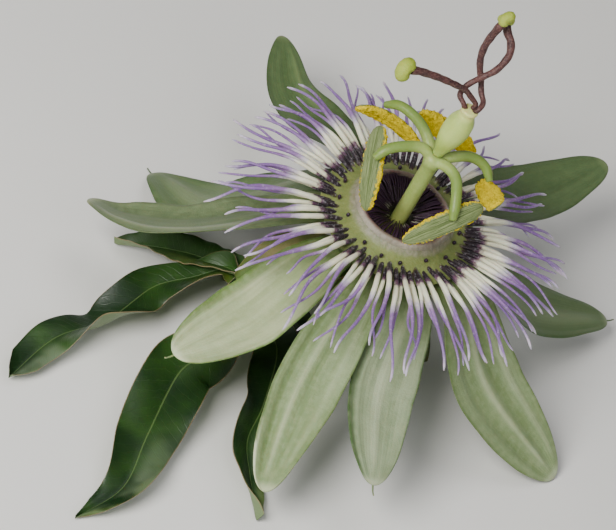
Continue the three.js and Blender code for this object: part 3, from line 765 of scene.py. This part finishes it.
def anther_finish():
    """Pale green ribbed back, with yellow pollen over the other side and its edges."""
    f = Finish("anther")
    across, run, pollen_side = f.marks()
    ribs = f.between(f.noise(1.6, 4.0, 0.7, f.lanes(across, run, 7.0, 2.0)), 0.3, 0.7)
    back = f.blend(ribs, (64, 86, 34), (150, 162, 112))
    back = f.coats(back, (f.between(f.math("ABSOLUTE", across), 0.12, 0.0), 0.5, (66, 88, 30)))
    grains = f.cells(5.5)
    clumps = f.noise(2.2)
    yellow = f.blend(f.between(grains, 0.1, 0.55), (255, 236, 36), (232, 204, 6))
    yellow = f.coats(yellow, (f.between(clumps, 0.45, 0.7), 0.5, (208, 170, 4)))
    sided = f.plus(pollen_side, f.times(f.between(across, 0.3, 1.0), 0.3))
    ragged = f.plus(sided, f.times(f.minus(clumps, 0.5), 1.6))
    share = f.between(ragged, -0.45, -0.15)
    colour = f.blend(share, back, yellow)
    grain_height = f.times(f.minus(1.0, grains), share)
    rib_height = f.times(f.minus(1.0, share), f.times(ribs, 0.22))
    return f.done(colour, 0.75, f.plus(grain_height, rib_height), 0.2, specular=0.25)


def style_finish():
    """Mottled maroon skin with small dark specks."""
    f = Finish("style")
    patches, flecks = f.patches(0.5)
    colour = f.blend(patches, (82, 44, 44), (52, 26, 30))
    colour = f.coats(colour, (flecks, 0.5, (136, 104, 92)))
    dots = f.cells(2.6)
    colour = f.coats(colour, (f.between(dots, 0.26, 0.14), 0.85, (24, 8, 14)))
    height = f.plus(f.noise(2.5), f.skin(6.0))
    return f.done(colour, 0.5, height, 0.06)


def fringe_finish():
    """Near-black purple hairs; a few have paler tips, which are painted glints."""
    f = Finish("nectary_fringe")
    _, run, extra = f.marks()
    # Paler tips on some hairs: painted glints.
    pale = f.times(f.between(run, 0.75, 1.0), f.between(extra, 0.3, 0.9))
    colour = f.blend(pale, (44, 20, 42), (150, 150, 128))
    return f.done(colour, 0.45, f.skin(7.0), 0.03)


def floor_finish():
    f = Finish("studio_floor")
    colour = f.blend(f.noise(0.02, 2.0), (226, 225, 221), (231, 230, 227))
    return f.done(colour, 0.8, f.noise(0.6), 0.02, specular=0.2)


# ---- petals and sepals
def strap(u, half, foot, swell, start):
    """Half width of a strap that swells from its foot, with a rounded end from start on."""
    shoulder = foot + (1 - foot) * np.sin((np.pi / 2) * np.minimum(1, u / swell))
    end = np.maximum(0, (u - start) / (1 - start))
    return half * shoulder * np.sqrt(np.maximum(1 - end * end, 0.0004))


def tepal_path(shape, seat):
    start = from_bearing(shape["bearing"], CUP_RADIUS + SEAT_GAP + 0.15, seat)
    middle = shape["middle"]
    middle_bearing = math.degrees(math.atan2(middle[1], middle[0]))
    turn = (middle_bearing - shape["bearing"] + 540) % 360 - 180
    inner = from_bearing(shape["bearing"] + 0.3 * turn, 14.5, seat - 0.7)
    late = [shape["late"]] if "late" in shape else []
    return [start, inner, middle, *late, shape["tip"]]


def tepal(shape, seat, cup, seed):
    """A strap with lifted edges, troughs down its face and a slightly wavy rim."""
    half = shape["width"] / 2
    curl = shape.get("curl", 0)
    phase = 2.1 * seed

    def half_width(u):
        ripple = 1 + 0.012 * np.sin(17 * u + phase) + 0.008 * np.sin(31 * u + 2 * phase)
        return strap(u, half, *shape["form"]) * ripple

    def rise(u, x):
        narrow = strap(u, half, *shape["form"]) / half
        lift = cup * smooth(u * 2) * x * x * narrow**2
        body = smooth(u * 3) * smooth((1 - u) * 5)
        for middle, depth, width in shape["troughs"]:
            lift = lift - depth * body * bump(x, middle, width)
        waves = (0.09 * np.cos(7 * x + 1.2 * np.sin(3 * u + phase)) + 0.03 * np.cos(19 * x + phase)) * body
        rim = 0.22 * x**6 * np.sin(13 * u + phase + np.sign(x)) * body
        edge = curl * smooth((x - 0.5) / 0.5) * smooth((u - 0.6) / 0.3) * narrow
        return lift + waves + rim + edge

    # Painted shade along the troughs and painted highlights on the ridges and the curled lip, handed to the
    # finish in the marks.
    def tone(u, x):
        body = smooth(u * 3) * smooth((1 - u) * 6)
        lip = min(curl, 1) * smooth((x - 0.8) / 0.1) * smooth((u - 0.68) / 0.2)
        troughs = sum(np.clip(2 * depth, -0.7, 0.8) * bump(x, middle, width)
                      for middle, depth, width in shape["troughs"])
        return (1 - lip) * body * troughs - 0.95 * lip

    return blade(tepal_path(shape, seat), half_width, rise, shape["roll"], TEPAL_THICKNESS, 84, 72, tone)


def awn(shape, seat):
    """The short point on the back of a sepal's tip."""
    curve = Path(tepal_path(shape, seat))
    forward = curve.heading(1)
    root = curve.at(0.93) - 0.25 * UP
    bend = curve.at(0.97) - 0.1 * UP + 1.6 * forward
    end = bend + 1.2 * forward + 0.5 * UP
    return rod([root, bend, end], lambda u: 0.22 - 0.12 * u, 10, 14)


# Lit, middle and shaded copies of the tepal colours, each painted lighter or darker for how brightly
# its tepals are lit: colours of face, edge, ridge and foot, and the place across where the right
# edge's colour starts
PETAL_LIT_AND_SHADED = {
    "light": [(134, 152, 106), (88, 112, 54), (196, 204, 166), (104, 126, 62), 0.88],
    "middle": [(102, 118, 82), (78, 94, 58), (162, 172, 128), (92, 114, 54), 0.88],
    "shaded": [(84, 106, 62), (58, 82, 38), (126, 144, 92), (62, 84, 40), 0.88],
}
SEPAL_LIT_AND_SHADED = {
    "light": [(184, 194, 150), (92, 122, 50), (212, 218, 182), (124, 148, 80), 0.72],
    "middle": [(142, 156, 120), (56, 84, 30), (180, 188, 156), (104, 128, 64), 0.68],
    "shaded": [(92, 112, 70), (58, 86, 36), (140, 152, 116), (64, 88, 42), 0.78],
}


def make_tepals(kind, shapes, lit_and_shaded, seat, cup, seed):
    # A finish for each copy, so each tepal wears the colours painted for how brightly it is lit.
    finishes = {tone: tepal_finish(f"{kind}_{tone}", *look) for tone, look in lit_and_shaded.items()}
    for index, shape in enumerate(shapes):
        body = tepal(shape, seat, cup, index + seed)
        if kind == "sepal":
            body = joined([body, awn(shape, seat)])
        fine(f"{kind}_{index + 1}", rest_on_surface(body), finishes[shape["tone"]])


# ---- cup, corona and inner corona
def make_cup():
    def ribs(where, angle, reach, level):
        outside = np.where(where < 0.55, 1.0, 0.0)
        return reach * (1 + 0.012 * outside * np.cos(10 * angle)), level

    body = turned([
        [0, CUP_BOTTOM], [2, CUP_BOTTOM], [5.6, -8.3], [8.2, -6.4], [CUP_RADIUS, -4.2],
        [CUP_RADIUS - 0.02, CUP_RIM - 0.3], [CUP_RADIUS - 0.5, CUP_RIM - 0.05], [7.9, CUP_RIM - 0.05],
        [7.4, -2.4], [7.1, -3.6], [5.4, NECTARY_FLOOR + 0.02], [0, NECTARY_FLOOR],
    ], 120, 6, ribs)
    finish = banded_finish("floral_cup", [
        (0.0, 128, 146, 92), (0.3, 140, 158, 102), (0.58, 156, 166, 116),
        # Over the rim the colours turn dark purple-brown: painted shade on the cup's inner wall, down to a
        # brownish-green floor.
        (0.7, 92, 84, 66), (0.85, 52, 34, 44), (1.0, 96, 104, 70),
    ], 0.5, (108, 128, 76), 0.4, 3.0, 0.05, specular=0.45)
    fine("floral_cup", body, finish)


def filament(bearing, root, lift, reach, sway, phase, extra, slim=1.0):
    """One long filament. Its height, sway and hooked end are formulas of u, from root to tip."""
    angle = math.radians(bearing)
    outward = np.array([math.cos(angle), math.sin(angle), 0])
    sideways = np.array([-math.sin(angle), math.cos(angle), 0])
    u = np.linspace(0, 1, 31)
    distance = FILAMENT_ROOT + (reach - FILAMENT_ROOT) * u
    height = root + lift * np.sin(2.4 * u) - 3.2 * u * u + 0.4 * u * np.cos(8 * u + phase)
    hook = smooth((u - 0.6) / 0.4) ** 1.5
    shift = sway * u**3 + 0.5 * u * np.sin(8 * u + phase) + 1.3 * np.sin(5 * phase) * hook
    height = height + 0.9 * np.cos(7 * phase) * hook
    centre = outward * distance[:, None] + sideways * shift[:, None] + UP * height[:, None]
    thick = along([0.36, 0.38, 0.42, 0.33, 0.26, 0.22, 0.18], u) + 0.03 * bump(u, 0.98, 0.02)
    thick = thick * (1 + 0.05 * np.sin(40 * u + 5 * phase)) * closing(u, 0.02, 0.004)
    return tube(centre, slim * thick, 9, extra)


def corona_filaments(draw):
    """Two ranks of long filaments, with slimmer and shorter ones between them."""
    tint, spare = Draws(77), Draws(4051)
    step = 360 / FILAMENTS_IN_RANK
    filaments = []
    for index in range(FILAMENTS_IN_RANK):
        for offset, root, lift, shorter in FILAMENT_RANKS:
            filaments.append(filament(
                step * (index + offset) + 1.2 * draw(), root, lift,
                FILAMENT_REACH - shorter + 2 * draw(), 2.2 * draw(), 3 * draw(), tint()))
    for index in range(2 * FILAMENTS_IN_RANK):
        bearing = step * (index + 0.5) / 2 + 1.5 * spare()
        reach = FILAMENT_REACH - 2.5 + 2.5 * spare()
        filaments.append(filament(bearing, -0.55, 1.1 + 0.8 * spare(), reach, 2.4 * spare(), 3 * spare(),
                                  0.5 * spare() - 1.5, 0.8))
    return joined(filaments)


def corona_ring():
    def creased(where, angle, reach, level):
        outer = smooth((reach - 9.3) / 1.5) * (level > -0.5)
        return reach, level + (0.02 * np.cos(60 * angle) + 0.02 * np.cos(23 * angle)) * outer

    foot = [RING_INNER - 0.2, CUP_RIM + SEAT_GAP]
    return ring_of([
        foot, [RING_OUTER, CUP_RIM + SEAT_GAP], [RING_FLANGE, -1.05], [RING_FLANGE, -0.65],
        [RING_OUTER, 0.1], [9.3, RING_TOP], [8.6, 0.7], [8, 1.25], [7.8, 1.3], foot,
    ], 432, 5, creased)


def corona_pegs(draw):
    def radius(u):
        return (0.16 + 0.14 * smooth(u * 1.3)) * closing(u, 0.2, 0.02)

    pegs = []
    for index in range(PEG_COUNT):
        bearing = 360 * index / PEG_COUNT + 7 * draw()
        foot = 9.3 + 0.5 * draw()
        pegs.append(rod([from_bearing(bearing, foot, RING_TOP - 0.6),
                         from_bearing(bearing, foot + 0.15, RING_TOP + 0.1),
                         from_bearing(bearing, foot + 0.3, RING_TOP + 0.7)], radius, 9, 12))
    return joined(pegs)


def make_corona(draw):
    piece("corona_filaments", corona_filaments(draw), filament_finish(), "corona")
    piece("corona_ring", corona_ring(), ring_finish())
    peg_finish = banded_finish("corona_peg", [
        (0.0, 150, 156, 104), (0.45, 96, 84, 70), (0.65, 34, 16, 34), (1.0, 26, 12, 28),
    ], 0.4, (60, 30, 56), 0.3, 6.0, 0.03, specular=0.5)
    piece("corona_pegs", corona_pegs(draw), peg_finish)


def make_inner_corona(draw):
    def frilled(where, angle, reach, level):
        top = smooth((level + 0.4) / 2.4)
        frill = 0.02 * np.cos(54 * angle) + 0.03 * np.cos(13 * angle + 1.0) + 0.02 * np.sin(31 * angle)
        return reach + 0.4 * frill * top, level + frill * top

    wall = ring_of([
        [WALL_INNER + 0.7, CUP_RIM + SEAT_GAP], [WALL_OUTER, CUP_RIM + SEAT_GAP], [WALL_OUTER + 0.2, 0.6],
        [7.85, 1.4], [7.2, WALL_TOP - 0.2], [WALL_INNER + 0.15, 1.8], [WALL_INNER + 0.4, 0.3],
        [WALL_INNER + 0.7, CUP_RIM + SEAT_GAP],
    ], 324, 6, frilled)
    wall_finish = banded_finish("inner_corona_wall", [
        (0.0, 98, 110, 58), (0.3, 128, 128, 100), (0.4, 148, 144, 122),
        (0.54, 164, 154, 140), (0.61, 116, 88, 86), (0.66, 50, 24, 34),
        (1.0, 30, 12, 24),
    ], 0.5, (104, 98, 80), 0.45, 3.0, 0.06, flesh=0.1)
    piece("inner_corona_wall", wall, wall_finish, "inner_corona")

    hairs = []
    for index in range(FRINGE_COUNT):
        bearing = 360 * index / FRINGE_COUNT + draw()
        hairs.append(rod([
            from_bearing(bearing, WALL_INNER + 0.5, 1.75 + 0.2 * draw()),
            from_bearing(bearing, 5, 1.75 + 0.25 * draw()),
            from_bearing(bearing + 3 * draw(), 2.2 + 0.4 * draw(), 0.5 + 0.35 * draw()),
        ], lambda u: 0.17 - 0.1 * u, 6, 12, draw()))
    piece("nectary_fringe", joined(hairs), fringe_finish())


# ---- column, stamens and ovary
def make_column():
    foot = NECTARY_FLOOR + SEAT_GAP
    shaft = turned([
        [0, foot], [2.55, foot + 0.02], [2.1, foot + 0.9], [COLUMN_RADIUS, foot + 2.4],
        [COLUMN_WAIST, 3], [COLUMN_WAIST, 8], [COLUMN_WAIST, 11.5], [1.5, 13], [1.4, HUB_HEIGHT],
        [0.8, 14.45], [0, 14.5],
    ], 40, 8)
    stalks = [
        rod([[0, 0, HUB_HEIGHT - 0.6], *shape["stalk"]],
            lambda u: 0.94 - 0.12 * u - 0.22 * smooth((u - 0.86) / 0.14), 14, 40, flat=0.9)
        for shape in STAMENS
    ]
    mesh = blended("column_fine", [shaft, *stalks], 0.15, 6)
    f = Finish("column_flesh")
    patches, flecks = f.patches(0.2)
    spot = f.add("ShaderNodeVectorMath", {0: f.millimetres(), 1: FLOWER_CENTRE.tolist()},
                 operation="SUBTRACT")
    x, y, height_up = f.add("ShaderNodeSeparateXYZ", {0: spot.outputs[0]}).outputs
    off_axis = f.math("SQRT", f.plus(f.times(x, x), f.times(y, y)))
    low = f.between(height_up, 9.0, -2.0)
    colour = f.coats(
        (158, 178, 96),
        (patches, 0.6, (128, 152, 68)),
        (flecks, 0.25, (186, 198, 136)),
        (low, 0.6, (160, 162, 88)),
        (f.between(off_axis, 1.8, 5.0), 0.75, (104, 132, 50)),
    )
    finish = f.done(colour, 0.42, f.skin(3.5), 0.04, flesh=0.15, specular=0.5)
    fine("column", mesh, finish)


def anther(shape, seed):
    """A long body that hangs by its middle, with two pollen rolls on one side."""
    start, end = (np.array(spot, float) for spot in shape["anther"])
    forward = unit(end - start)
    normal = np.array(shape["facing"], float)
    normal = unit(normal - (normal @ forward) * forward)
    side = np.cross(forward, normal)
    u = 0.5 - 0.5 * np.cos(np.pi * np.linspace(0, 1, 73))
    bow = 4 * u * (1 - u) - 0.5
    centre = (start + (end - start) * u[:, None]
              - shape["arch"] * normal * bow[:, None] + shape["bend"] * side * bow[:, None])
    end_taper = np.sqrt(np.clip(1 - (2 * u - 1) ** 20, 0.0, 1))
    to_low_end = (2 * u - 1) * np.sign(start[2] - end[2])
    narrowing = np.where(to_low_end > 0, 0.96, 0.85)
    bluntness = np.where(to_low_end > 0, 2.3, 3.4)
    half = 1.65 * np.sqrt(1 - narrowing * np.abs(to_low_end) ** bluntness) * np.maximum(end_taper, 0.03)
    thick = 0.65 * np.sqrt(1 - 0.7 * (2 * u - 1) ** 4) * np.maximum(end_taper, 0.05)
    angle = circle(56)
    x = np.cos(angle)
    rolls = 1.1 * np.sqrt(1 - np.abs(x) ** 3) * (1 - 0.55 * bump(x, 0, 0.22))
    back = -np.abs(np.sin(angle)) ** 0.7 * (1 - 0.2 * bump(x, 0, 0.1) + 0.02 * np.cos(23 * x))
    pollen_side = np.sin(angle) > 0
    profile = np.where(pollen_side, rolls, back)
    rings = rings_at(centre, side, half[:, None] * x, normal, thick[:, None] * profile)
    grain = bumps(rings, 2.0, seed) + 0.8 * bumps(rings, 5.0)
    outward = (side * x[:, None] + normal * np.sin(angle)[:, None])[None]
    depth = np.where(np.sin(angle) > -0.35, 0.28, 0.03)
    rings = rings + outward * (depth * grain)[..., None]
    return loft(rings, marks_of(x, u[:, None], np.sin(angle)))


def make_anthers():
    finish = anther_finish()
    for index, shape in enumerate(STAMENS):
        fine(f"anther_{index + 1}", anther(shape, index), finish)


def make_ovary():
    profile = Path([[0, 0.85, 0], [0.08, 0.95, 0], [0.2, 1.35, 0], [0.36, 1.85, 0], [0.55, 2.1, 0],
                    [0.72, 1.95, 0], [0.85, 1.4, 0], [0.9, 1.16, 0], [0.93, 1.24, 0], [0.97, 1.34, 0],
                    [0.995, 1.2, 0], [1, 0.9, 0]])
    line = profile.spot(np.linspace(0, 1, 81))
    foot, top = np.array(OVARY_FOOT, float), np.array(OVARY_TOP, float)
    angle = circle(72)
    run = line[:, :1]
    centre = foot + (top - foot) * run
    belly = smooth(run * 3) * smooth((1 - run) * 4)
    lobes = np.cos(3 * angle)
    radius = line[:, 1:2] * (1 + belly * (0.012 * lobes - 0.02 * bump(lobes, 1, 0.05)))
    east, north, _ = np.eye(3)
    rings = rings_at(centre, east, radius * np.cos(angle), north, radius * np.sin(angle))
    marks = marks_of(angle / (2 * np.pi), run, 0.0)
    finish = banded_finish("ovary", [
        (0.0, 130, 158, 64), (0.12, 156, 182, 80), (0.5, 184, 206, 102),
        (0.84, 164, 186, 86), (0.9, 200, 206, 118), (1.0, 212, 206, 134),
    ], 0.42, (196, 214, 130), 0.35, 3.5, 0.035, flesh=0.15, specular=0.5)
    fine("ovary", loft(rings, marks), finish)


# ---- styles and stigmas
def stigma(shape):
    """A kidney: an egg with a cleft across its end, on a short neck."""
    axis = unit(np.array(shape["stretch"], float))
    middle = np.array(shape["stigma"], float)
    helper = unit(np.cross(axis, UP))
    other = np.cross(helper, axis)
    lat = np.linspace(0, np.pi, 49)
    angle = circle(56)
    size = shape["size"] / 2
    cleft = 1 - 0.3 * bump(np.cos(angle), 1, 0.3) * bump(lat, np.pi / 2, 0.35)[:, None]
    reach = np.maximum(np.sin(lat), 0.002)[:, None] * size * cleft
    centre = middle + axis * (size * np.cos(lat))[:, None]
    rings = rings_at(centre, helper, 0.7 * reach * np.cos(angle), other, 0.7 * reach * np.sin(angle))
    rings = rings + unit(rings - middle) * (0.05 * bumps(rings, 3.0))[..., None]
    return loft(rings, marks_of(angle / (2 * np.pi), (lat / np.pi)[:, None], 0.0))


def make_styles():
    maroon = style_finish()
    stigma_finish = banded_finish("stigma", [
        (0.0, 132, 152, 38), (0.5, 152, 168, 54), (1.0, 126, 146, 36),
    ], 0.6, (172, 184, 86), 0.5, 5.0, 0.08, flesh=0.12, specular=0.35)
    for index, shape in enumerate(STYLES):
        end = np.array(shape["path"][-1], float)
        neck = end + 0.55 * (np.array(shape["stigma"]) - end)
        foot = np.array(OVARY_TOP, float)
        sunk = foot + 0.55 * (np.array(shape["path"][0]) - foot) - [0, 0, 0.6]
        body = rod([sunk.tolist(), *shape["path"], neck.tolist()],
                   lambda u: (0.38 + 0.26 * u) * (1 + 0.05 * np.sin(47 * u + index)), 16, 120)
        fine(f"style_{index + 1}", body, maroon)
        fine(f"stigma_{index + 1}", stigma(shape), stigma_finish)


# ---- bracts, stem and leaf
def bract(shape):
    bearing, droop, reach = shape["bearing"], shape["droop"], shape["reach"]
    path = [
        from_bearing(bearing - 4, 1.7, -11),
        from_bearing(bearing - 2, 7 * reach, -10.4 - 0.25 * droop),
        from_bearing(bearing, 13.5 * reach, -9.8 - 0.7 * droop),
        from_bearing(bearing + 3, 20 * reach, -11.2 - droop),
        from_bearing(bearing + 4, 23.4 * reach, -12.6 - 1.2 * droop),
    ]

    def half_width(u):
        return 5 * np.maximum(0.03, np.sin(np.pi * u**0.85 * 0.985)) ** 0.8

    def rise(u, x):
        return 0.8 * x * x + 0.18 * x**4 * np.sin(15 * u + np.sign(x)) - 0.15 * bump(x, 0, 0.1)

    return blade(path, half_width, rise, [0, 0], LEAF_THICKNESS, 70, 56)


def lobe(shape):
    width, waves, swell = shape["width"], shape["waves"], shape["swell"]

    def half_width(u):
        taper = np.maximum(0.02, np.sin(np.pi * (0.1 + shape["taper"] * u))) ** 0.85
        return (width / 2) * taper * closing(u, 0.08, 0.002, 0.001)

    def rise(u, x):
        fold = 1.4 * (np.sqrt(x * x + 0.006) - 0.05)
        wave = swell * x * x * np.sin(2 * np.pi * waves * u + np.where(x > 0, 1, 0) * smooth(np.abs(x) * 6))
        crimp = 0.12 * x**4 * np.sin(46 * u + 2 * np.sign(x))
        return fold + wave + crimp

    return blade(shape["path"], half_width, rise, shape["roll"], LEAF_THICKNESS, 110, 56)


def make_greenery():
    bract_finish = leaf_finish("bract", (76, 106, 40), (150, 134, 96), (104, 124, 62), (180, 138, 116))
    for index, shape in enumerate(BRACTS):
        fine(f"bract_{index + 1}", bract(shape), bract_finish)

    leaf = rest_on_surface(joined([lobe(shape) for shape in LOBES]))
    finish = leaf_finish("leaf", (14, 40, 12), (44, 76, 24), (112, 132, 88), (142, 122, 90))
    fine("leaf", leaf, finish)

    vine = rod(VINE, lambda u: VINE_RADIUS + 0.5 * bump(u, 0.43, 0.05), 40, 90, ridges=5, ridge=0.06)
    pedicel = rod(PEDICEL, lambda u: 1.2 + 0 * u, 30, 80, ridges=3, ridge=0.05)
    petiole = rod(PETIOLE, lambda u: 0.85 + 0.12 * bump(u, 1, 0.1), 24, 60, ridges=2, ridge=0.05)
    mesh = blended("stem_fine", [rest_on_surface(body) for body in (vine, pedicel, petiole)], 0.2, 5)
    f = Finish("stem_green")
    patches, flecks = f.patches(0.25)
    colour = f.blend(patches, (104, 128, 66), (136, 152, 90))
    colour = f.coats(colour, (flecks, 0.3, (128, 96, 76)))
    stem = f.done(colour, 0.45, f.skin(3.0), 0.06, specular=0.45)
    fine("stem", mesh, stem)


# ---- floor, light and camera
def area_light(name, spot, target, size, power, colour):
    lamp = bpy.data.lights.new(name, "AREA")
    lamp.shape = "DISK"
    lamp.size = size
    lamp.energy = power
    lamp.color = colour
    thing = add_object(name, lamp)
    thing.location = spot
    thing.rotation_euler = (Vector(target) - Vector(spot)).to_track_quat("-Z", "Y").to_euler()


def make_studio():
    half, height = 1.5, -0.00005
    corners = [(-half, -half, height), (half, -half, height), (half, half, height), (-half, half, height)]
    mesh = bpy.data.meshes.new("floor")
    mesh.from_pydata(corners, [], [(0, 1, 2, 3)])
    mesh.materials.append(floor_finish())
    floor = add_object("floor", mesh)

    world = bpy.data.worlds.new("studio")
    world.use_nodes = True
    background = world.node_tree.nodes["Background"]
    background.inputs["Color"].default_value = (1, 1, 1, 1)
    background.inputs["Strength"].default_value = 0.16
    bpy.context.scene.world = world

    middle = (0.0, 0.0, 0.02)
    area_light("key", (-0.17, -0.29, 0.34), middle, 0.22, 2.75, (1.0, 0.985, 0.955))
    area_light("fill", (0.35, -0.35, 0.4), middle, 0.5, 0.9, (0.95, 0.97, 1.0))
    area_light("top", (0.0, 0.25, 0.9), middle, 0.6, 1.6, (1.0, 1.0, 1.0))


def make_camera():
    camera = bpy.data.cameras.new("camera")
    camera.lens = CAMERA_LENS
    camera.sensor_fit = "HORIZONTAL"
    camera.sensor_width = SENSOR_WIDTH
    camera.clip_start = 0.01
    camera.clip_end = 20
    thing = add_object("camera", camera)
    turn = Matrix((CAMERA_RIGHT, CAMERA_UP, CAMERA_BACK)).transposed().to_4x4()
    thing.matrix_world = Matrix.Translation(CAMERA_PLACE) @ turn
    bpy.context.scene.camera = thing


make_camera()
make_studio()
make_tepals("petal", PETALS, PETAL_LIT_AND_SHADED, PETAL_SEAT, cup=1, seed=0)
make_tepals("sepal", SEPALS, SEPAL_LIT_AND_SHADED, SEPAL_SEAT, cup=1.2, seed=7)
make_cup()
corona_draws = Draws(20011)
make_corona(corona_draws)
make_inner_corona(corona_draws)
make_column()
make_anthers()
make_ovary()
make_styles()
make_greenery()
